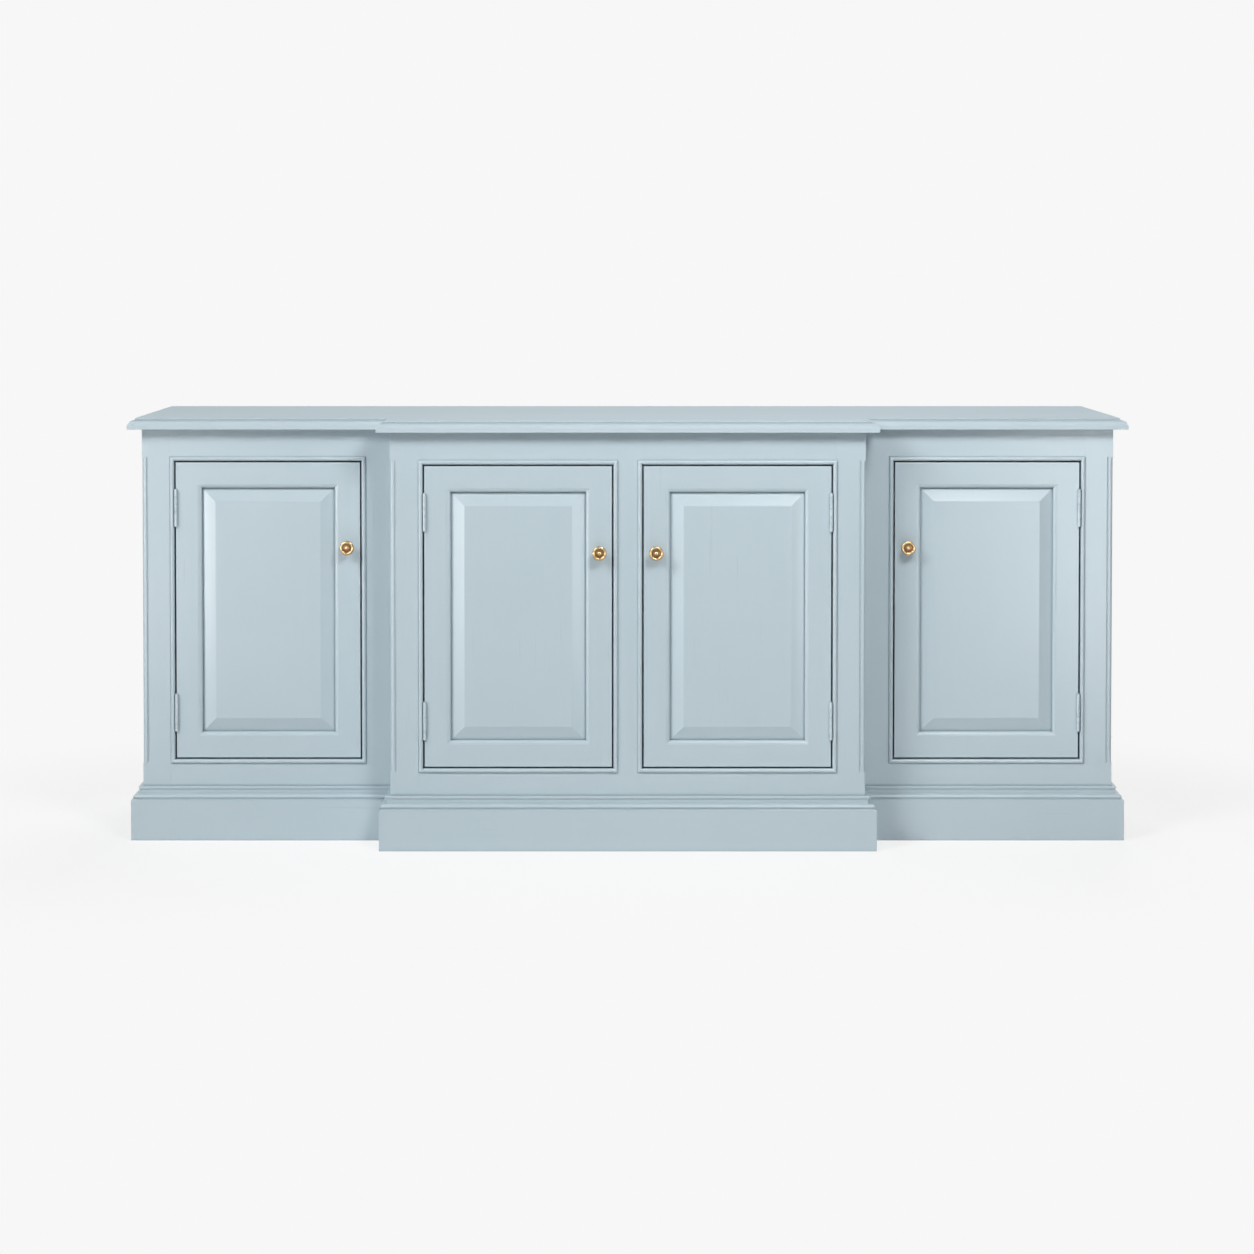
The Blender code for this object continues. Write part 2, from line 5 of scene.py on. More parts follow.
import bmesh
import bpy
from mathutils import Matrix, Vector


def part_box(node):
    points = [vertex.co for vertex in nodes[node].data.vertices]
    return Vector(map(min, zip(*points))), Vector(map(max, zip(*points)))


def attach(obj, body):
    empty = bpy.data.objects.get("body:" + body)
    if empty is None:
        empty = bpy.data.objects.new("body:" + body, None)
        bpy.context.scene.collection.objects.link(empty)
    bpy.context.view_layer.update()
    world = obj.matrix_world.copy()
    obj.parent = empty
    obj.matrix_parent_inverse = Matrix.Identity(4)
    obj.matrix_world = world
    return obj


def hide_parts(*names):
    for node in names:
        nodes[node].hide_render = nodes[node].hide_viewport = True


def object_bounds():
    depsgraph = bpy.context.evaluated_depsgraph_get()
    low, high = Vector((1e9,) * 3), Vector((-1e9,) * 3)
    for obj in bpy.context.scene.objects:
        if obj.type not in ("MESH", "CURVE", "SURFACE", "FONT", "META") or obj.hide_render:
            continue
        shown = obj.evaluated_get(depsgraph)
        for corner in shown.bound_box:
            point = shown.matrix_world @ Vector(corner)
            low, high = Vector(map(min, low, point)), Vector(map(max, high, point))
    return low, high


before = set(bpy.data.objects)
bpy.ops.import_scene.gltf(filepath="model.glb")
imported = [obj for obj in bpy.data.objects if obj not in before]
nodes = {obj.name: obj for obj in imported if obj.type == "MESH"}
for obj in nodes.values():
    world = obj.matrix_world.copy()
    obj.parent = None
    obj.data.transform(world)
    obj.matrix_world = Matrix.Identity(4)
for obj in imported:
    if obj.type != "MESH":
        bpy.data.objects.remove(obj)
cad_low, cad_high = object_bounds()
scene = bpy.context.scene

X, Z = 0, 2

# Doors, with the side that each one's hinges are on
DOORS = {"left": -1, "centre_left": -1, "centre_right": 1, "right": 1}
BOX = {name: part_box(name) for name in nodes}


def middle(name, axis):
    """Middle of a node's box along an axis."""
    low, high = BOX[name]
    return (low[axis] + high[axis]) / 2


# Planes and outlines, taken from the solids
back_plane = BOX["back_panel"][1].y
wing_face = BOX["face_frame_left"][0].y
centre_face = BOX["face_frame_centre"][0].y
half_total = BOX["face_frame_right"][1].x
half_centre = BOX["face_frame_centre"][1].x
top_foot, top_head = BOX["top"][0].z, BOX["top"][1].z
door_size = BOX["door_left_frame"][1] - BOX["door_left_frame"][0]
door_middles = [middle(f"door_{word}_frame", X) for word in DOORS]
bead_width = BOX["cock_bead_left"][1].x - BOX["cock_bead_left"][0].x

# Fits and eased edges
SEAT = 0.0003
RUN = 0.0003
ARRIS = 0.0008

# Door frame and raised panel
DOOR_MEMBER = 0.0525
STICKING_WIDTH = 0.007
STICKING_DEPTH = 0.006
STICKING_QUIRK = 0.0006
FIELD_SETBACK = 0.001
BEVEL_WIDTH = 0.025
BEVEL_RISE = 0.009
PANEL_MARGIN = 0.0015
TONGUE_THICKNESS = 0.0065
TONGUE_REACH = 0.0060
TONGUE_PLAY = 0.001

# Cock bead
BEAD_WIDTH = 0.009
BEAD_PROUD = 0.0045

# Moulding of the top
TOP_OVOLO_HEIGHT = 0.0092
TOP_FILLET_HEIGHT = 0.0045
TOP_QUIRK = 0.0016
TOP_FILLET_INSET = 0.0145
TOP_LEDGE = 0.0015

# Plinth and its cap
PLINTH_FACE_HEIGHT = 0.0825
PLINTH_LEDGE_RISE = 0.0012
PLINTH_TORUS_SEAT = 0.0130
PLINTH_TORUS_PROUD = 0.0178
PLINTH_TORUS_FOOT = 0.0012
PLINTH_HOLLOW = 0.0016
PLINTH_TORUS_HEIGHT = 0.0088
PLINTH_STEM_PROUD = 0.0060
PLINTH_FILLET_PROUD = 0.0081
PLINTH_FILLET_HEIGHT = 0.0048

# Knob, with its rim's arc in degrees
KNOB_RIM = 0.0030
KNOB_RIM_FROM = 200
KNOB_RIM_TO = -20
KNOB_DISH_DEPTH = 0.0030
KNOB_DOME_RADIUS = 0.0040
KNOB_HEAD_HEIGHT = 0.0100
KNOB_NECK_RADIUS = 0.00575
KNOB_ROSE_RADIUS = 0.0095
KNOB_ROSE_HEIGHT = 0.0030

# Tarnish in the knob's dish, as shares of the dome's radius and of the rim's
TARNISH_FROM = 0.8
TARNISH_TO = 0.4
TARNISH_BELOW = 0.6

# Face frame and the stopped bead on its corners
FRAME_FOOT = 0.060
STILE_FACE = 0.0565
CORNER_ROUND = 0.006
QUIRK_INSET = 0.0105
QUIRK_WIDTH = 0.0034
QUIRK_RUN_OUT = 0.005

# Hinge
HINGE_LENGTH = 0.0762
KNUCKLES = 5
KNUCKLE_RADIUS = 0.0033
BORE_RADIUS = 0.0018
LEAF_TAIL = 0.001

# Screws, with their places as shares of a leaf's length and of its plate's depth
SCREW_PLACES = ((0.18, 0.42), (0.5, 0.62), (0.82, 0.42))
SCREW_RADIUS = 0.0027
SCREW_SLOT = 0.0007
SCREW_PROUD = 0.00012
SCREW_CROWN = 0.94

# Strike plates and catch poles
STRIKE_WIDTH = 0.011
STRIKE_HEIGHT = 0.038
STRIKE_THICKNESS = 0.0004
STRIKE_EDGE = STRIKE_THICKNESS * 0.6
STRIKE_CHAMFER = 0.0004
STRIKE_CORNER = 0.0015
STRIKE_INSET = 0.0012
POLE_STEPS = (0.0022, 0.0082)
POLE_WIDTH = 0.0016
POLE_MARGIN = 0.005
POLE_PROUD = 0.00006

# Nails of the back panel
NAIL_RADIUS = 0.0017
NAIL_CROWN = NAIL_RADIUS * 0.8
NAIL_PROUD = 0.00002
NAIL_SUNK = 0.001
NAIL_INSET = 0.010
NAIL_SPACING = 0.14

# Facets of the finer shapes
ARC_STEPS = 12
FILLET_STEPS = 3
QUIRK_STEPS = 8
CORNER_STEPS = 10
STRIKE_STEPS = 5
SCREW_STEPS = 12
NAIL_STEPS = 12
KNUCKLE_STEPS = 40
TURNED_STEPS = 72
EASE_ABOVE = math.radians(24)
EASE_SHARE = 0.4
SMOOTH_BELOW = math.radians(50)
FLAT_WEIGHT = 100


def srgb(red, green, blue):
    """A linear colour from 8-bit sRGB values."""
    parts = [value / 255 for value in (red, green, blue)]
    return (*[p / 12.92 if p <= 0.04045 else ((p + 0.055) / 1.055) ** 2.4 for p in parts], 1.0)


# Colours
PAINT = srgb(187, 203, 211)
PAINT_LIGHT = srgb(191, 206, 213)
PAINT_DARK = srgb(181, 198, 207)
# Lighter paint: worn, thin paint on edges with a painted highlight along them, and the hinges'
# painted sheen
PAINT_THIN_AND_LIT = srgb(205, 217, 223)
# The paint's colour in shade, put into corners, creases and gaps as painted shade
PAINT_SHADED = srgb(76, 102, 117)
PLYWOOD = srgb(208, 178, 138)
PLYWOOD_DARK = srgb(176, 140, 100)
BRASS = srgb(197, 174, 138)
BRASS_RED = srgb(184, 155, 112)
TARNISH = srgb(116, 84, 48)
STEEL = srgb(186, 188, 190)
STEEL_DULL = srgb(140, 142, 144)
PLASTIC = srgb(232, 231, 226)
PLASTIC_SOILED = srgb(212, 209, 200)
BACKDROP = srgb(247, 247, 247)


# Node helpers

# Sockets of the mix node: factor, first and second value, and the result
MIX_COLOURS = (0, 6, 7), 2
MIX_NUMBERS = (0, 2, 3), 0

EDGE_TURN = 0.86
EDGE_SAMPLES = 4
OPENNESS_SAMPLES = 8


class Graph:
    """The node tree of a material or a world, with short calls for the nodes that are used here."""

    def __init__(self, owner, output="ShaderNodeOutputMaterial"):
        owner.use_nodes = True
        self.owner = owner
        self.tree = owner.node_tree
        self.tree.nodes.clear()
        self.output = self.node(output)

    def node(self, kind, **settings):
        made = self.tree.nodes.new(kind)
        for key, value in settings.items():
            setattr(made, key, value)
        return made

    def put(self, socket, value):
        if isinstance(value, bpy.types.NodeSocket):
            self.tree.links.new(value, socket)
        else:
            socket.default_value = value

    def fill(self, made, values):
        for socket, value in zip(made.inputs, values):
            self.put(socket, value)
        return made

    def math(self, operation, *values):
        return self.fill(self.node("ShaderNodeMath", operation=operation), values).outputs[0]

    def vector(self, operation, *values):
        made = self.fill(self.node("ShaderNodeVectorMath", operation=operation), values)
        return made.outputs["Value" if operation in ("LENGTH", "DOT_PRODUCT") else "Vector"]

    def mixed(self, kind, sockets, values):
        made = self.node("ShaderNodeMix", data_type=kind)
        places, result = sockets
        for index, value in zip(places, values):
            self.put(made.inputs[index], value)
        return made.outputs[result]

    def mix(self, factor, first, second):
        """A colour between two."""
        return self.mixed("RGBA", MIX_COLOURS, (factor, first, second))

    def blend(self, factor, first, second):
        """A number between two."""
        return self.mixed("FLOAT", MIX_NUMBERS, (factor, first, second))

    def span(self, value, low, high, to_low=0.0, to_high=1.0, curve="LINEAR"):
        made = self.node("ShaderNodeMapRange", clamp=True, interpolation_type=curve)
        return self.fill(made, (value, low, high, to_low, to_high)).outputs[0]

    def place(self):
        return self.node("ShaderNodeTexCoord").outputs["Object"]

    def part(self, vector, axis):
        return self.fill(self.node("ShaderNodeSeparateXYZ"), (vector,)).outputs[axis]

    def stretch(self, vector, scale):
        made = self.node("ShaderNodeMapping")
        self.put(made.inputs["Vector"], vector)
        made.inputs["Scale"].default_value = scale
        return made.outputs[0]

    def noise(self, vector, scale, detail=3.0, roughness=0.5, distortion=0.0):
        made = self.node("ShaderNodeTexNoise")
        self.put(made.inputs["Vector"], vector)
        made.inputs["Scale"].default_value = scale
        made.inputs["Detail"].default_value = detail
        made.inputs["Roughness"].default_value = roughness
        made.inputs["Distortion"].default_value = distortion
        return made.outputs["Fac"]

    def attribute(self, name):
        return self.node("ShaderNodeAttribute", attribute_name=name).outputs["Fac"]

    def soft_edge(self, radius):
        made = self.node("ShaderNodeBevel", samples=EDGE_SAMPLES)
        made.inputs["Radius"].default_value = radius
        return made.outputs[0]

    def edge_mask(self, radius):
        """About 1 along sharp edges and 0 on flats."""
        normal = self.node("ShaderNodeNewGeometry").outputs["Normal"]
        return self.span(self.vector("DOT_PRODUCT", self.soft_edge(radius), normal), 1.0, EDGE_TURN)

    def openness(self, distance):
        """1 where the surface is open, less in corners and recesses."""
        made = self.node("ShaderNodeAmbientOcclusion", samples=OPENNESS_SAMPLES)
        made.inputs["Distance"].default_value = distance
        return made.outputs["AO"]

    def bump(self, height, distance, normal=None):
        made = self.node("ShaderNodeBump")
        made.inputs["Distance"].default_value = distance
        self.put(made.inputs["Height"], height)
        if normal is not None:
            self.put(made.inputs["Normal"], normal)
        return made.outputs[0]

    def directly_seen(self):
        """1 for rays from the camera, a gloss or a clear piece, and 0 for the rest."""
        rays = self.node("ShaderNodeLightPath")
        seen = self.math("MAXIMUM", rays.outputs["Is Camera Ray"], rays.outputs["Is Glossy Ray"])
        return self.math("MAXIMUM", seen, rays.outputs["Is Transmission Ray"])

    def shader(self, kind, **inputs):
        made = self.node(kind)
        for key, value in inputs.items():
            self.put(made.inputs[key.replace("_", " ").title()], value)
        return made.outputs[0]

    def either(self, factor, first, second):
        """A shader between two."""
        return self.fill(self.node("ShaderNodeMixShader"), (factor, first, second)).outputs[0]

    def show(self, shader):
        self.tree.links.new(shader, self.output.inputs[0])
        return self.owner

    def finish(self, **inputs):
        return self.show(self.shader("ShaderNodeBsdfPrincipled", **inputs))


# Materials: scales are the noise's own, reliefs and widths are in metres

NOISE_RANGE = (0.3, 0.7)
CLOUD_RANGE = (0.32, 0.68)

# Paint
BRUSH_FINE = 520
BRUSH_FINE_STRETCH = 0.015
BRUSH_BROAD = 80
BRUSH_BROAD_STRETCH = 0.04
BRUSH_BROAD_SHARE = 0.45
BRUSH_TINT = 0.12
BRUSH_RELIEF = 0.000006
PEEL = 300
PEEL_SHARE = 0.4
CLOUDS = 2.2
# Edges drawn lighter, partly as worn thin paint and partly as a painted highlight
WORN_LIT_NOISE = 160
WORN_LIT_WIDTH = 0.0010
WORN_LIT_LEAST = 0.22
WORN_LIT_MOST = 0.42
# Painted shade in corners, creases and gaps: its reach, its strength, and the heavier strength
PAINTED_SHADE_REACH = 0.008
PAINTED_SHADE = 0.5
PAINTED_SHADE_HEAVY = 0.9
PAINT_SMOOTH = 0.272
PAINT_ROUGH = 0.288
PAINT_EASE = 0.0006
TOP_DULLED = 0.34

# Bare plywood
GRAIN = 42
GRAIN_STRETCH = (1.0, 1.0, 0.06)
PORES = 700
PORES_STRETCH = (1.0, 1.0, 0.02)
PORES_TINT = 0.35
PLYWOOD_SMOOTH = 0.62
PLYWOOD_ROUGH = 0.78

# Hinge paint
HINGE_CLOUDS = 60
HINGE_CHIPS = 900
HINGE_CHIP_WIDTH = 0.0005
HINGE_PEEL = 700
HINGE_RELIEF = 0.00002
HINGE_EASE = 0.0003
# Painted shade in the hinge's knuckle splits and corners
HINGE_SHADE_REACH = 0.002
HINGE_SHADE = 0.55
HINGE_SMOOTH = 0.24
HINGE_ROUGH = 0.34

# Brass
TOOL_RINGS = 21000.0
TOOL_RELIEF = 0.000008
BRASS_TONES = 130
BRASS_SMOOTH = 0.12
BRASS_ROUGH = 0.20
TARNISH_LEAST = 0.78
TARNISH_ROUGH = 0.16

# Steel
ROLLED = 1500
ROLLED_STRETCH = (1.0, 1.0, 0.03)
ROLLED_RELIEF = 0.00001
STEEL_SPOTS = 260
STEEL_SMOOTH = 0.26
STEEL_ROUGH = 0.42
STEEL_EASE = 0.0002

# Plastic
SPARKS = 2600
SPARK_RELIEF = 0.00003
PLASTIC_CLOUDS = 60
PLASTIC_SMOOTH = 0.4
PLASTIC_ROUGH = 0.55
PLASTIC_EASE = 0.0004


def brush_marks(graph, place, along):
    """Streaks of the brush along one axis, 0 to 1 with a middle of about a half."""
    fine, broad = [1.0] * 3, [1.0] * 3
    fine[along], broad[along] = BRUSH_FINE_STRETCH, BRUSH_BROAD_STRETCH
    thin = graph.noise(graph.stretch(place, fine), BRUSH_FINE, detail=2.0)
    wide = graph.noise(graph.stretch(place, broad), BRUSH_BROAD, detail=2.0)
    return graph.blend(BRUSH_BROAD_SHARE, thin, wide)


def between_stiles(graph, place, half_width):
    """1 within a half width of a door's middle, and 0 elsewhere."""
    nearest = None
    for door_middle in door_middles:
        off = graph.math("SUBTRACT", graph.part(place, "X"), door_middle)
        away = graph.math("ABSOLUTE", off)
        nearest = away if nearest is None else graph.math("MINIMUM", nearest, away)
    return graph.math("LESS_THAN", nearest, half_width)


def paint_material(name, along, rails=None, plywood=False, dulled=0.0, shade_strength=PAINTED_SHADE):
    """Satin paint brushed along one axis, and along X on rails, given by half of their length.

    With plywood, the rear face of the back panel is left bare. Corners, creases and gaps are
    darkened as painted shade, by the given share at most.
    """
    graph = Graph(bpy.data.materials.new(name))
    place = graph.place()
    marks = brush_marks(graph, place, along)
    if rails:
        on_rail = between_stiles(graph, place, rails)
        marks = graph.blend(on_rail, marks, brush_marks(graph, place, X))
    cloud = graph.noise(place, CLOUDS, detail=4.0, roughness=0.6)
    colour = graph.mix(graph.span(cloud, *CLOUD_RANGE), PAINT, PAINT_LIGHT)
    colour = graph.mix(graph.span(marks, 0.34, 0.66, 0.0, BRUSH_TINT), colour, PAINT_DARK)
    # Edges lighter, partly worn thin paint and partly a painted highlight along the arrises
    ragged = graph.noise(place, WORN_LIT_NOISE, detail=3.0, roughness=0.65)
    worn_and_lit = graph.span(ragged, 0.35, 0.72, WORN_LIT_LEAST, WORN_LIT_MOST)
    worn_and_lit = graph.math("MULTIPLY", graph.edge_mask(WORN_LIT_WIDTH), worn_and_lit)
    colour = graph.mix(worn_and_lit, colour, PAINT_THIN_AND_LIT)
    # Painted shade: corners, creases and gaps darkened towards the paint's shaded colour
    shade_share = graph.span(graph.openness(PAINTED_SHADE_REACH), 0.2, 0.8, shade_strength, 0.0)
    colour = graph.mix(shade_share, colour, PAINT_SHADED)
    rough = graph.span(marks, *NOISE_RANGE, PAINT_SMOOTH + dulled, PAINT_ROUGH + dulled)
    peel = graph.noise(place, PEEL, detail=2.0)
    relief = graph.blend(PEEL_SHARE, marks, peel)
    normal = graph.bump(relief, BRUSH_RELIEF, graph.soft_edge(PAINT_EASE))
    if plywood:
        behind = graph.math("GREATER_THAN", graph.part(place, "Y"), back_plane - ARRIS / 2)
        along_grain = graph.stretch(place, GRAIN_STRETCH)
        grain = graph.noise(along_grain, GRAIN, detail=7.0, roughness=0.62, distortion=0.5)
        pores = graph.noise(graph.stretch(place, PORES_STRETCH), PORES, detail=2.0)
        wood = graph.mix(graph.span(grain, 0.36, 0.66), PLYWOOD, PLYWOOD_DARK)
        wood = graph.mix(graph.span(pores, 0.58, 0.72, 0.0, PORES_TINT), wood, PLYWOOD_DARK)
        colour = graph.mix(behind, colour, wood)
        bare = graph.span(grain, *NOISE_RANGE, PLYWOOD_SMOOTH, PLYWOOD_ROUGH)
        rough = graph.blend(behind, rough, bare)
    return graph.finish(base_color=colour, roughness=rough, normal=normal)


def hinge_material():
    """Paint over steel, glossier than the wood's and drawn lighter as a painted sheen, with steel
    showing where a few edges are chipped, and painted shade in its splits.
    """
    graph = Graph(bpy.data.materials.new("painted_hinge"))
    place = graph.place()
    cloud = graph.noise(place, HINGE_CLOUDS, detail=4.0, roughness=0.6)
    # Painted sheen: the hinge's paint is drawn lighter than the wood's, to stand for its brighter
    # gloss
    colour = graph.mix(graph.span(cloud, *CLOUD_RANGE), PAINT_LIGHT, PAINT_THIN_AND_LIT)
    ragged = graph.span(graph.noise(place, HINGE_CHIPS, detail=3.0, roughness=0.6), 0.60, 0.68)
    chips = graph.math("MULTIPLY", graph.edge_mask(HINGE_CHIP_WIDTH), ragged)
    colour = graph.mix(chips, colour, STEEL_DULL)
    # Painted shade: the knuckle splits and corners darkened towards the paint's shaded colour
    shade_share = graph.span(graph.openness(HINGE_SHADE_REACH), 0.2, 0.7, HINGE_SHADE, 0.0)
    colour = graph.mix(shade_share, colour, PAINT_SHADED)
    peel = graph.noise(place, HINGE_PEEL, detail=2.0)
    normal = graph.bump(peel, HINGE_RELIEF, graph.soft_edge(HINGE_EASE))
    rough = graph.span(cloud, *NOISE_RANGE, HINGE_SMOOTH, HINGE_ROUGH)
    return graph.finish(base_color=colour, roughness=rough, normal=normal, metallic=chips)


def brass_material():
    """Turned brass: tool rings about the axis, warm tone changes, and tarnish in the dish."""
    graph = Graph(bpy.data.materials.new("turned_brass"))
    place = graph.place()
    radius = graph.attribute("turn_radius")
    dish = graph.attribute("dish")
    rings = graph.math("SINE", graph.math("MULTIPLY", radius, TOOL_RINGS))
    tone = graph.noise(place, BRASS_TONES, detail=4.0, roughness=0.6)
    colour = graph.mix(graph.span(tone, 0.35, 0.68), BRASS, BRASS_RED)
    dull = graph.math("MULTIPLY", dish, graph.span(tone, 0.25, 0.6, 1.0, TARNISH_LEAST))
    colour = graph.mix(dull, colour, TARNISH)
    bright = graph.span(tone, *NOISE_RANGE, BRASS_SMOOTH, BRASS_ROUGH)
    rough = graph.math("ADD", bright, graph.math("MULTIPLY", dish, TARNISH_ROUGH))
    normal = graph.bump(rings, TOOL_RELIEF)
    return graph.finish(base_color=colour, metallic=1.0, roughness=rough, normal=normal)


def steel_material():
    """Zinc-plated steel with fine rolling marks and a few dull spots."""
    graph = Graph(bpy.data.materials.new("plated_steel"))
    place = graph.place()
    rolled = graph.noise(graph.stretch(place, ROLLED_STRETCH), ROLLED, detail=2.0)
    spots = graph.noise(place, STEEL_SPOTS, detail=4.0, roughness=0.65)
    colour = graph.mix(graph.span(spots, 0.42, 0.68), STEEL, STEEL_DULL)
    rough = graph.span(spots, *NOISE_RANGE, STEEL_SMOOTH, STEEL_ROUGH)
    normal = graph.bump(rolled, ROLLED_RELIEF, graph.soft_edge(STEEL_EASE))
    return graph.finish(base_color=colour, metallic=1.0, roughness=rough, normal=normal)


def plastic_material():
    """Moulded plastic with a fine spark-eroded texture."""
    graph = Graph(bpy.data.materials.new("moulded_plastic"))
    place = graph.place()
    spark = graph.noise(place, SPARKS, detail=2.0)
    cloud = graph.noise(place, PLASTIC_CLOUDS, detail=3.0)
    colour = graph.mix(graph.span(cloud, 0.35, 0.7), PLASTIC, PLASTIC_SOILED)
    rough = graph.span(spark, *NOISE_RANGE, PLASTIC_SMOOTH, PLASTIC_ROUGH)
    normal = graph.bump(spark, SPARK_RELIEF, graph.soft_edge(PLASTIC_EASE))
    return graph.finish(base_color=colour, roughness=rough, normal=normal)


paint_up = paint_material("paint_upright", Z)
paint_long = paint_material("paint_lengthwise", X)
# The top, the beads and the face frames get the heavier painted shade in their creases and gaps
paint_top = paint_material("paint_top", X, dulled=TOP_DULLED, shade_strength=PAINTED_SHADE_HEAVY)
paint_door = paint_material("paint_door_frame", Z, door_size.x / 2 - DOOR_MEMBER)
paint_bead = paint_material("paint_bead", Z, bead_width / 2 - BEAD_WIDTH, shade_strength=PAINTED_SHADE_HEAVY)
paint_front = paint_material("paint_face_frame", Z, bead_width / 2, shade_strength=PAINTED_SHADE_HEAVY)
paint_back = paint_material("paint_back_panel", Z, plywood=True)
hinge_paint = hinge_material()
brass = brass_material()
steel = steel_material()
plastic = plastic_material()


def node_material(name):
    """The material of a solid that shows as it is."""
    if name.startswith("hinge_"):
        return hinge_paint
    if name.startswith(("end_", "partition_")):
        return paint_up
    if name.startswith("face_frame"):
        return paint_front
    if name.startswith("catch_"):
        return plastic
    return paint_back if name == "back_panel" else paint_long


for node_name, node in nodes.items():
    node.data.materials.clear()
    node.data.materials.append(node_material(node_name))


# Mesh helpers


def arc(centre, radii, start, end, steps=ARC_STEPS):
    """Points on an elliptical arc, with its angles in degrees and both ends included."""
    turns = [math.radians(start + (end - start) * i / steps) for i in range(steps + 1)]
    return [
        (centre[0] + radii[0] * math.cos(turn), centre[1] + radii[1] * math.sin(turn))
        for turn in turns
    ]


def eased(points, radius, closed=False):
    """A profile with its corners eased by about a radius, and its smooth runs as they are."""
    flat = [Vector(point) for point in points]
    out = []
    for i, corner in enumerate(flat):
        if not closed and i in (0, len(flat) - 1):
            out.append(corner)
            continue
        before, after = flat[i - 1] - corner, flat[(i + 1) % len(flat)] - corner
        if math.pi - before.angle(after) < EASE_ABOVE:
            out.append(corner)
            continue
        near = corner + before.normalized() * min(radius, before.length * EASE_SHARE)
        far = corner + after.normalized() * min(radius, after.length * EASE_SHARE)
        for k in range(FILLET_STEPS + 1):
            t = k / FILLET_STEPS
            out.append(near * (1 - t) ** 2 + corner * 2 * t * (1 - t) + far * t ** 2)
    return [tuple(point) for point in out]


def finish_mesh(name, bm, mitres=()):
    """A smooth mesh with hard edges where its faces turn sharply and along the given mitres."""
    bmesh.ops.recalc_face_normals(bm, faces=bm.faces)
    for face in bm.faces:
        face.smooth = True
    for edge in bm.edges:
        edge.smooth = edge.is_manifold and edge.calc_face_angle() < SMOOTH_BELOW
    for edge in mitres:
        edge.smooth = False
    mesh = bpy.data.meshes.new(name)
    bm.to_mesh(mesh)
    bm.free()
    return mesh


def add_loft(bm, rings, closed=False):
    """A solid through rings of points, joined end to end where closed and capped where not."""
    loops = [[bm.verts.new(point) for point in ring] for ring in rings]
    following = loops[1:] + loops[:1] if closed else loops[1:]
    for near, far in zip(loops, following):
        for i, vertex in enumerate(near):
            bm.faces.new((near[i - 1], vertex, far[i], far[i - 1]))
    if not closed:
        bm.faces.new(loops[0])
        bm.faces.new(loops[-1])
    return loops


def add_upright(bm, outline, levels):
    """A solid with the same (x, y) outline at each of its levels."""
    add_loft(bm, [[(x, y, level) for x, y in outline] for level in levels])


def add_block(bm, low, high):
    outline = ((low[0], low[1]), (high[0], low[1]), (high[0], high[1]), (low[0], high[1]))
    add_upright(bm, outline, (low[2], high[2]))


def mitred_mesh(name, rings, closed=False):
    """A moulding through sections that stand at its mitres."""
    bm = bmesh.new()
    loops = add_loft(bm, rings, closed)
    mitres = [
        bm.edges.get((loop[i - 1], vertex)) for loop in loops for i, vertex in enumerate(loop)
    ]
    return finish_mesh(name, bm, mitres)


def stacked_mesh(name, rings):
    """A slab through outlines at one level after another, with a hard edge up each corner."""
    bm = bmesh.new()
    loops = add_loft(bm, rings)
    mitres = [
        bm.edges.get(pair) for near, far in zip(loops, loops[1:]) for pair in zip(near, far)
    ]
    return finish_mesh(name, bm, mitres)


def add_turned(bm, profile, centre, steps=TURNED_STEPS):
    """A turned form about an axis along Y, from (radius, distance towards the front) points."""
    x, y, z = centre
    rings = []
    for radius, out in profile:
        count = steps if radius > 0 else 1
        turns = [2 * math.pi * i / count for i in range(count)]
        rings.append([
            bm.verts.new((x + radius * math.cos(turn), y - out, z + radius * math.sin(turn)))
            for turn in turns
        ])
    for near, far in zip(rings, rings[1:]):
        for i in range(steps):
            k = i + 1
            ring = (near[i % len(near)], near[k % len(near)], far[k % len(far)], far[i % len(far)])
            bm.faces.new(list(dict.fromkeys(ring)))


def add_piece(name, mesh, material, body, slot, *stands_for):
    """A piece on a body, in place of the solids that it stands for."""
    mesh.materials.append(material)
    piece = bpy.data.objects.new(name, mesh)
    scene.collection.objects.link(piece)
    flats = piece.modifiers.new("flats", "WEIGHTED_NORMAL")
    flats.weight = FLAT_WEIGHT
    flats.keep_sharp = True
    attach(piece, body)
    if stands_for:
        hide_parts(*stands_for)


def rectangle_rings(low, high, section):
    """A section of (inset, depth) points at the four mitres of an upright rectangle's outline."""
    rings = []
    for right, upper in ((False, False), (True, False), (True, True), (False, True)):
        ring = []
        for inset, depth in section:
            x = high.x - inset if right else low.x + inset
            z = high.z - inset if upper else low.z + inset
            ring.append((x, depth, z))
        rings.append(ring)
    return rings


def breakfront(offset):
    """Corners of the carcass outline moved out by an offset, from back left to back right."""
    left = (
        (-half_total - offset, back_plane),
        (-half_total - offset, wing_face - offset),
        (-half_centre - offset, wing_face - offset),
        (-half_centre - offset, centre_face - offset),
    )
    return left + tuple((-x, y) for x, y in reversed(left))


# Top and plinth


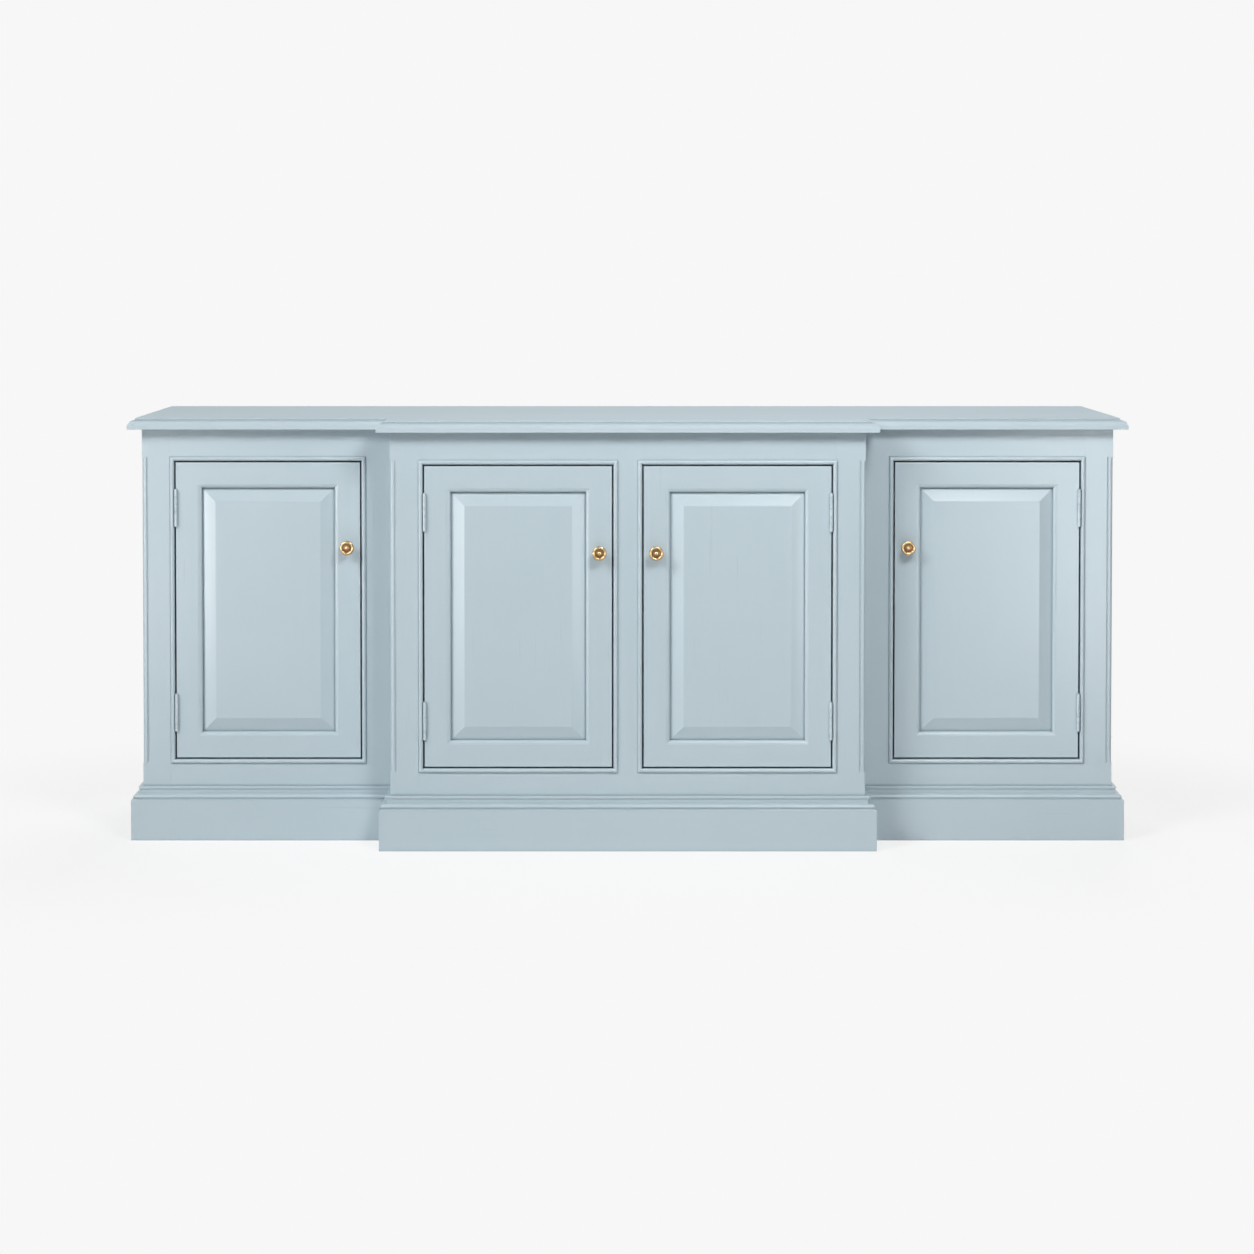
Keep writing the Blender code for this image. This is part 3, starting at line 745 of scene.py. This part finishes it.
def make_top():
    height = top_head - top_foot
    overhang = BOX["top"][1].x - half_total
    nosing = height - TOP_OVOLO_HEIGHT - TOP_FILLET_HEIGHT
    fillet = overhang - TOP_FILLET_INSET
    crest = nosing + TOP_OVOLO_HEIGHT
    shoulder = fillet + TOP_QUIRK
    ovolo = (overhang - TOP_LEDGE - shoulder, TOP_OVOLO_HEIGHT)
    quirk = arc((shoulder, crest - TOP_QUIRK), (TOP_QUIRK, TOP_QUIRK), 90, 150, FILLET_STEPS)
    profile = [(overhang - 2 * ARRIS, 0), (overhang, 0), (overhang, nosing)]
    profile += arc((shoulder, nosing), ovolo, 0, 90)
    profile += quirk[1:]
    profile += [(fillet, crest - TOP_QUIRK / 2), (fillet, height), (fillet - 2 * ARRIS, height)]
    rings = [
        [(x, y, top_foot + z) for x, y in breakfront(offset)]
        for offset, z in eased(profile, ARRIS)
    ]
    mesh = stacked_mesh("top_moulded", rings)
    add_piece("top_moulded", mesh, paint_top, "carcass", "painted_wood", "top")


def make_plinth():
    proud = BOX["plinth"][1].x - half_total
    cap_head = BOX["plinth"][1].z
    torus = (PLINTH_TORUS_PROUD - PLINTH_TORUS_SEAT, PLINTH_TORUS_HEIGHT / 2)
    torus_middle = PLINTH_FACE_HEIGHT + PLINTH_TORUS_FOOT + PLINTH_TORUS_HEIGHT / 2
    torus_head = torus_middle + PLINTH_TORUS_HEIGHT / 2
    fillet_foot = cap_head - PLINTH_FILLET_HEIGHT
    hollow = PLINTH_TORUS_PROUD - PLINTH_HOLLOW
    section = [(SEAT, 0), (proud, 0), (proud, PLINTH_FACE_HEIGHT)]
    section += [(hollow, PLINTH_FACE_HEIGHT + PLINTH_LEDGE_RISE)]
    section += [(hollow, torus_middle - torus[1] / 2)]
    section += arc((PLINTH_TORUS_SEAT, torus_middle), torus, -30, 90)
    section += [(PLINTH_STEM_PROUD, torus_head + ARRIS / 2), (PLINTH_STEM_PROUD, fillet_foot)]
    section += [(PLINTH_FILLET_PROUD, fillet_foot), (PLINTH_FILLET_PROUD, cap_head)]
    section += [(SEAT, cap_head)]
    section = eased(section, ARRIS / 2, closed=True)
    corners = range(len(breakfront(0)))
    rings = [[(*breakfront(offset)[k], z) for offset, z in section] for k in corners]
    mesh = mitred_mesh("plinth_moulded", rings)
    add_piece("plinth_moulded", mesh, paint_long, "carcass", "painted_wood", "plinth")


# Doors


def make_bead(word):
    node = f"cock_bead_{word}"
    low, high = BOX[node]
    face = wing_face if word in ("left", "right") else centre_face
    half = BEAD_WIDTH / 2
    section = arc((half, face), (half, BEAD_PROUD), 180, 360)
    section += [(BEAD_WIDTH, high.y), (0, high.y)]
    mesh = mitred_mesh(f"bead_{word}", rectangle_rings(low, high, section), closed=True)
    add_piece(f"bead_{word}", mesh, paint_bead, "carcass", "painted_wood", node)


def make_door_frame(word):
    node = f"door_{word}_frame"
    low, high = BOX[node]
    face, behind = low.y, high.y
    groove = DOOR_MEMBER - TONGUE_REACH - TONGUE_PLAY
    groove_front = face + FIELD_SETBACK + BEVEL_RISE - SEAT
    groove_back = groove_front + TONGUE_THICKNESS + 2 * SEAT
    shoulder = DOOR_MEMBER - STICKING_WIDTH
    ovolo = (STICKING_WIDTH, STICKING_DEPTH - STICKING_QUIRK)
    section = [(0, face), (shoulder, face)]
    section += arc((shoulder, face + STICKING_DEPTH), ovolo, 270, 360)
    section += [(DOOR_MEMBER, groove_front), (groove, groove_front)]
    section += [(groove, groove_back), (DOOR_MEMBER, groove_back)]
    section += [(DOOR_MEMBER, behind), (0, behind)]
    section = eased(section, ARRIS, closed=True)
    mesh = mitred_mesh(f"frame_{word}", rectangle_rings(low, high, section), closed=True)
    add_piece(f"frame_{word}", mesh, paint_door, f"door_{word}", "painted_wood", node)


def make_door_panel(word):
    node = f"door_{word}_panel"
    low, high = BOX[f"door_{word}_frame"]
    margin = low.y + FIELD_SETBACK + BEVEL_RISE
    behind = margin + TONGUE_THICKNESS
    tongue = DOOR_MEMBER - TONGUE_REACH
    foot = DOOR_MEMBER + PANEL_MARGIN
    edge = foot + BEVEL_WIDTH
    field = low.y + FIELD_SETBACK
    profile = [(edge, behind), (tongue, behind), (tongue, margin)]
    profile += [(foot, margin), (edge, field), (edge + 4 * ARRIS, field)]
    rings = []
    for point in eased(profile, ARRIS / 2):
        rings.append([ring[0] for ring in rectangle_rings(low, high, [point])])
    mesh = stacked_mesh(f"panel_{word}", rings)
    add_piece(f"panel_{word}", mesh, paint_up, f"door_{word}", "painted_wood", node)


def make_knob(word):
    """A turned knob, with its radius and its dish marked on the mesh for the brass."""
    node = f"door_{word}_knob"
    low, high = BOX[node]
    centre = (middle(node, X), high.y, middle(node, Z))
    radius, reach = (high.x - low.x) / 2, high.y - low.y
    rim_middle = (radius - KNOB_RIM, reach - KNOB_RIM)
    dish = reach - KNOB_DISH_DEPTH
    head_foot = reach - KNOB_HEAD_HEIGHT
    bell_top = rim_middle[1] - KNOB_RIM / 2
    bell = (rim_middle[0] - KNOB_NECK_RADIUS, bell_top - head_foot)
    waist = (KNOB_ROSE_RADIUS - KNOB_NECK_RADIUS, head_foot - KNOB_ROSE_HEIGHT)
    profile = arc((0, dish), (KNOB_DOME_RADIUS, KNOB_DOME_RADIUS / 2), 90, 0)
    profile[0] = (0, profile[0][1])
    profile += arc(rim_middle, (KNOB_RIM, KNOB_RIM), KNOB_RIM_FROM, KNOB_RIM_TO, 2 * ARC_STEPS)
    profile += arc((KNOB_NECK_RADIUS, bell_top), bell, KNOB_RIM_TO, -90)
    profile += arc((KNOB_ROSE_RADIUS, head_foot), waist, 180, 270)[1:]
    profile += [(KNOB_ROSE_RADIUS, 0), (0, 0)]
    bm = bmesh.new()
    add_turned(bm, profile, centre)
    mesh = finish_mesh(f"knob_{word}", bm)
    turn = mesh.attributes.new("turn_radius", "FLOAT", "POINT")
    hollow = mesh.attributes.new("dish", "FLOAT", "POINT")
    inner, outer = KNOB_DOME_RADIUS * TARNISH_FROM, rim_middle[0] - TARNISH_TO * KNOB_RIM
    brink = reach - TARNISH_BELOW * KNOB_RIM
    for i, vertex in enumerate(mesh.vertices):
        away = math.hypot(vertex.co.x - centre[0], vertex.co.z - centre[2])
        front = centre[1] - vertex.co.y
        turn.data[i].value = away
        hollow.data[i].value = float(inner < away < outer and head_foot < front < brink)
    add_piece(f"knob_{word}", mesh, brass, f"door_{word}", "brass", node)


# Face frames


def corner_section(worked):
    """Half of a stile in plan as (inset, depth), with its corner bead worked from 0 to 1."""
    half, depth = QUIRK_WIDTH / 2, BOX["face_frame_left"][1].y - wing_face
    ease = ARRIS + (CORNER_ROUND - ARRIS) * worked
    quirk = arc((0, 0), (half, half), 180, 0, QUIRK_STEPS)
    points = [(STILE_FACE, depth), (STILE_FACE, 0)]
    points += [(QUIRK_INSET - u, v * worked) for u, v in quirk]
    points += arc((ease, ease), (ease, ease), 270, 180, CORNER_STEPS)
    points += [(v * worked, QUIRK_INSET + u) for u, v in quirk]
    return points + [(0, depth)]


def add_corner_stile(bm, x, face, side, foot, head, low, high):
    """A stile with a stopped bead on its corner that runs out at both ends."""
    runs = ((foot, 0), (low, 0), (low + QUIRK_RUN_OUT / 3, 0.5), (low + QUIRK_RUN_OUT, 1))
    runs += ((high - QUIRK_RUN_OUT, 1), (high - QUIRK_RUN_OUT / 3, 0.5), (high, 0), (head, 0))
    rings = []
    for level, worked in runs:
        section = corner_section(worked)
        rings.append([(x - side * inset, face + depth, level) for inset, depth in section])
    add_loft(bm, rings)


def make_face_frame(word, doors):
    """A face frame: beaded corner stiles, plain stiles beside the doors, and two rails."""
    node = f"face_frame_{word}"
    low, high = BOX[node]
    face, behind = low.y, high.y
    sill = BOX[f"cock_bead_{doors[0]}"][0].z - SEAT
    head = BOX[f"cock_bead_{doors[0]}"][1].z + SEAT
    bm = bmesh.new()
    corners = {"left": (-1,), "centre": (-1, 1), "right": (1,)}[word]
    for side in corners:
        x = high.x if side > 0 else low.x
        add_corner_stile(bm, x, face, side, FRAME_FOOT, high.z, sill, head)
    start = low.x + (STILE_FACE if -1 in corners else 0)
    stop = high.x - (STILE_FACE if 1 in corners else 0)
    for foot, top in ((FRAME_FOOT, sill), (head, high.z)):
        add_block(bm, (start, face, foot), (stop, behind, top))
    edges = [start]
    for door in doors:
        edges += [BOX[f"cock_bead_{door}"][0].x - SEAT, BOX[f"cock_bead_{door}"][1].x + SEAT]
    edges.append(stop)
    stiles = list(zip(edges[::2], edges[1::2]))
    if -1 in corners:
        stiles = stiles[1:]
    if 1 in corners:
        stiles = stiles[:-1]
    for near, far in stiles:
        add_block(bm, (near, face, sill), (far, behind, head))
    mesh = finish_mesh(f"front_{word}", bm)
    add_piece(f"front_{word}", mesh, paint_front, "carcass", "painted_wood", node)


# Hinges


def axis_of(node):
    """X of the hinge's axis, the middle of its pin."""
    return middle(node.replace("frame_leaf", "pin").replace("door_leaf", "pin"), X)


def plate_span(node):
    """The two faces of a leaf's plate, read from the solid's own corners at its tail."""
    tail = BOX[node][1].y - LEAF_TAIL
    across = [vertex.co.x for vertex in nodes[node].data.vertices if vertex.co.y > tail]
    return min(across), max(across)


def add_knuckle(bm, axis, foot, head):
    """A barrel with a bore and eased ends, about an upright axis."""
    section = [(BORE_RADIUS, foot), (KNUCKLE_RADIUS, foot)]
    section += [(KNUCKLE_RADIUS, head), (BORE_RADIUS, head)]
    section = eased(section, 2 * RUN, closed=True)
    rings = []
    for i in range(KNUCKLE_STEPS):
        turn = 2 * math.pi * i / KNUCKLE_STEPS
        across, deep = math.cos(turn), math.sin(turn)
        rings.append([(axis[0] + r * across, axis[1] + r * deep, z) for r, z in section])
    add_loft(bm, rings, closed=True)


def add_screw(bm, place, facing):
    """A slotted screw head on a face that looks along X, as the two halves beside its slot."""
    heights = ((1.0, -SCREW_PROUD), (1.0, SCREW_PROUD / 2), (SCREW_CROWN, SCREW_PROUD))
    for half, shift in ((0, SCREW_SLOT / 2), (1, -SCREW_SLOT / 2)):
        turns = [math.pi * (half + i / SCREW_STEPS) for i in range(SCREW_STEPS + 1)]
        rim = [(SCREW_RADIUS * math.cos(turn), SCREW_RADIUS * math.sin(turn)) for turn in turns]
        rings = []
        for grow, out in heights:
            x = place[0] + facing * out
            rings.append([(x, place[1] + y * grow, place[2] + z * grow + shift) for y, z in rim])
        add_loft(bm, rings)


def make_leaf(node, body, hinge_side, fixed):
    """A hinge leaf: every second knuckle, the plate behind them, and its three screws."""
    low, high = BOX[node]
    axis = (axis_of(node), low.y + KNUCKLE_RADIUS)
    pitch = HINGE_LENGTH / KNUCKLES
    foot = middle(node, Z) - HINGE_LENGTH / 2
    spans = [
        (foot + k * pitch + RUN / 2, foot + (k + 1) * pitch - RUN / 2)
        for k in range(0 if fixed else 1, KNUCKLES, 2)
    ]
    near, far = plate_span(node)
    front = axis[1] + BORE_RADIUS
    clear = axis[1] + KNUCKLE_RADIUS + 2 * RUN
    plate = ((near, clear), (near, high.y), (far, high.y), (far, clear))
    root = ((near, front), (near, clear), (far, clear), (far, front))
    bm = bmesh.new()
    for span in spans:
        add_knuckle(bm, axis, *span)
    add_upright(bm, plate, (foot, foot + HINGE_LENGTH))
    for span in spans:
        add_upright(bm, root, span)
    facing = -hinge_side if fixed else hinge_side
    face = near if facing < 0 else far
    for along, deep in SCREW_PLACES:
        place = (face, clear + (high.y - clear) * deep, foot + along * HINGE_LENGTH)
        add_screw(bm, place, facing)
    name = node.replace("hinge_", "butt_")
    add_piece(name, finish_mesh(name, bm), hinge_paint, body, "hinge_paint", node)


# Catches and nails


def make_strike(word, free):
    """The strike plate on the back of a door, at its free edge and level with its catch."""
    low, high = BOX[f"door_{word}_frame"]
    edge = high.x if free > 0 else low.x
    centre = edge - free * (STRIKE_WIDTH / 2 + STRIKE_INSET)
    level = middle(f"catch_{word}", Z)
    full = STRIKE_WIDTH / 2
    rings = []
    for half, out in ((full, 0), (full, STRIKE_EDGE), (full - STRIKE_CHAMFER, STRIKE_THICKNESS)):
        tall = STRIKE_HEIGHT / 2 - (full - half)
        outline = []
        for u, v, start in ((1, 1, 0), (-1, 1, 90), (-1, -1, 180), (1, -1, 270)):
            inner = (u * (half - STRIKE_CORNER), v * (tall - STRIKE_CORNER))
            radii = (STRIKE_CORNER, STRIKE_CORNER)
            outline += arc(inner, radii, start, start + 90, STRIKE_STEPS)
        rings.append([(centre + u, high.y + out, level + v) for u, v in outline])
    bm = bmesh.new()
    add_loft(bm, rings)
    name = f"strike_{word}"
    add_piece(name, finish_mesh(name, bm), steel, f"door_{word}", "pin_steel")


def make_poles(word, free):
    """The two poles on the face of a door's catch."""
    low, high = BOX[f"catch_{word}"]
    inner = high.x if free < 0 else low.x
    bm = bmesh.new()
    for step in POLE_STEPS:
        near = inner + free * step
        far = near + free * POLE_WIDTH
        add_block(
            bm,
            (min(near, far), low.y - POLE_PROUD, low.z + POLE_MARGIN),
            (max(near, far), low.y + POLE_WIDTH, high.z - POLE_MARGIN),
        )
    name = f"catch_poles_{word}"
    add_piece(name, finish_mesh(name, bm), steel, "carcass", "pin_steel")


def make_nails():
    """Flat nail heads round the edge of the back panel and along the partitions."""
    low, high = BOX["back_panel"]
    columns = [low.x + NAIL_INSET, high.x - NAIL_INSET]
    columns += [middle(f"partition_{word}", X) for word in ("left", "right")]
    rows = [low.z + NAIL_INSET, high.z - NAIL_INSET]
    places = []
    count = round((high.z - low.z) / NAIL_SPACING)
    for x in columns:
        places += [(x, rows[0] + (rows[1] - rows[0]) * i / count) for i in range(count + 1)]
    count = round((high.x - low.x) / NAIL_SPACING)
    for z in rows:
        reach = columns[1] - columns[0]
        places += [(columns[0] + reach * i / count, z) for i in range(1, count)]
    profile = [(0, -NAIL_PROUD), (NAIL_CROWN, -NAIL_PROUD), (NAIL_RADIUS, 0)]
    profile += [(NAIL_RADIUS, NAIL_SUNK), (0, NAIL_SUNK)]
    bm = bmesh.new()
    for x, z in places:
        add_turned(bm, profile, (x, high.y, z), NAIL_STEPS)
    add_piece("back_nails", finish_mesh("back_nails", bm), steel, "carcass", "pin_steel")


make_top()
make_plinth()
make_face_frame("left", ("left",))
make_face_frame("centre", ("centre_left", "centre_right"))
make_face_frame("right", ("right",))
make_nails()
for door_word, door_hinges in DOORS.items():
    make_strike(door_word, -door_hinges)
    make_poles(door_word, -door_hinges)
    for hinge_level in ("upper", "lower"):
        hinge = f"hinge_{door_word}_{hinge_level}"
        make_leaf(f"{hinge}_frame_leaf", "carcass", door_hinges, fixed=True)
        make_leaf(f"{hinge}_door_leaf", f"door_{door_word}", door_hinges, fixed=False)
    make_bead(door_word)
    make_door_frame(door_word)
    make_door_panel(door_word)
    make_knob(door_word)


# Camera, as the photograph was taken, with its tilt in degrees

CAMERA_PLACE = (-0.0335, -4.9991, 1.1745)
CAMERA_TILT = 1.4956

camera_data = bpy.data.cameras.new("camera")
camera_data.sensor_width = 36
camera_data.lens = 68.557
camera_data.shift_x = 0.0127
camera_data.shift_y = -0.2396
camera = bpy.data.objects.new("camera", camera_data)
camera.location = CAMERA_PLACE
camera.rotation_euler = (math.radians(90 - CAMERA_TILT), 0, 0)
scene.collection.objects.link(camera)
scene.camera = camera
scene.view_settings.view_transform = "Standard"


# Light

OBJECT_MIDDLE = (0, 0, 0.45)
FRONT_MIDDLE = (0, -0.1, 0.40)
FAR_SIZE = (2.6, 2.6)
CARD_SIZE = (0.6, 0.8)


def make_world():
    """No light of its own, but a pale backdrop where the camera or a gloss sees past the floor."""
    scene.world = bpy.data.worlds.new("studio")
    graph = Graph(scene.world, "ShaderNodeOutputWorld")
    dark = graph.shader("ShaderNodeBackground", strength=0.0)
    backdrop = graph.shader("ShaderNodeBackground", color=BACKDROP)
    graph.show(graph.either(graph.directly_seen(), dark, backdrop))


def area_light(name, place, target, size, power, card=False, matt=False):
    """A soft lamp. A card shows only in the gloss, and a matt lamp everywhere but there."""
    data = bpy.data.lights.new(name, "AREA")
    data.shape = "RECTANGLE"
    data.size, data.size_y = size
    data.energy = power
    lamp = bpy.data.objects.new(name, data)
    lamp.visible_camera = False
    lamp.visible_diffuse = not card
    lamp.visible_glossy = not matt
    lamp.location = place
    lamp.rotation_euler = (Vector(target) - Vector(place)).to_track_quat("-Z", "Y").to_euler()
    scene.collection.objects.link(lamp)


make_world()
area_light("far_left", (-5.268, -4.420, 5.446), OBJECT_MIDDLE, FAR_SIZE, 228)
area_light("far_left_low", (-6.2, -5.2, 4.0), OBJECT_MIDDLE, FAR_SIZE, 66)
area_light("near_left", (-2.72, -3.46, 3.28), FRONT_MIDDLE, (1.44, 1.92), 43)
area_light("near_right", (0.85, -2.2, 2.4), FRONT_MIDDLE, (0.80, 0.80), 42)
area_light("behind", (0.7, 3.4, 2.3), (0.2, 0.2, 0.45), (2.4, 1.6), 96, matt=True)
area_light("card_left", (-2.6, -2.2, 0.4), (-0.433, -0.2, 0.4), CARD_SIZE, 22, card=True)
area_light("card_middle", (-1.5, -2.2, 0.4), (-0.25, -0.2, 0.4), CARD_SIZE, 5.5, card=True)
area_light("card_right", (1.5, -2.2, 0.4), (0.25, -0.2, 0.4), CARD_SIZE, 9, card=True)


# Floor

FLOOR_NEAR = 0.10
FLOOR_FAR = 0.70
FLOOR_PAPER = (0.80, 0.80, 0.80, 1.0)
FLOOR_SHADOWED = (0.25, 0.25, 0.25, 1.0)
FLOOR_SHADOWED_DEEP = (0.23, 0.23, 0.23, 1.0)
FLOOR_CLOUDS = 3.0
FLOOR_GLOW = 0.73
FLOOR_REACH = 30
FLOOR_SEGMENTS = 8


def floor_material():
    """Pale paper that keeps the shadow near the object and runs out into the backdrop."""
    graph = Graph(bpy.data.materials.new("studio_floor"))
    place = graph.place()
    footprint = (cad_high.x, cad_high.y, 0)
    outside = graph.vector("SUBTRACT", graph.vector("ABSOLUTE", place), footprint)
    away = graph.vector("LENGTH", graph.vector("MAXIMUM", outside, (0, 0, 0)))
    far = graph.span(away, FLOOR_NEAR, FLOOR_FAR, curve="SMOOTHSTEP")
    paper = graph.shader("ShaderNodeBsdfDiffuse", color=FLOOR_PAPER)
    tone = graph.mix(graph.noise(place, FLOOR_CLOUDS), FLOOR_SHADOWED, FLOOR_SHADOWED_DEEP)
    shadowed = graph.shader("ShaderNodeBsdfDiffuse", color=tone)
    lift = graph.shader("ShaderNodeEmission", strength=FLOOR_GLOW)
    near = graph.fill(graph.node("ShaderNodeAddShader"), (shadowed, lift)).outputs[0]
    backdrop = graph.shader("ShaderNodeEmission", color=BACKDROP)
    shown = graph.either(far, near, backdrop)
    return graph.show(graph.either(graph.directly_seen(), paper, shown))


def make_floor():
    bm = bmesh.new()
    bmesh.ops.create_grid(
        bm, x_segments=FLOOR_SEGMENTS, y_segments=FLOOR_SEGMENTS, size=FLOOR_REACH
    )
    mesh = bpy.data.meshes.new("floor")
    bm.to_mesh(mesh)
    bm.free()
    mesh.materials.append(floor_material())
    floor = bpy.data.objects.new("floor", mesh)
    scene.collection.objects.link(floor)


make_floor()
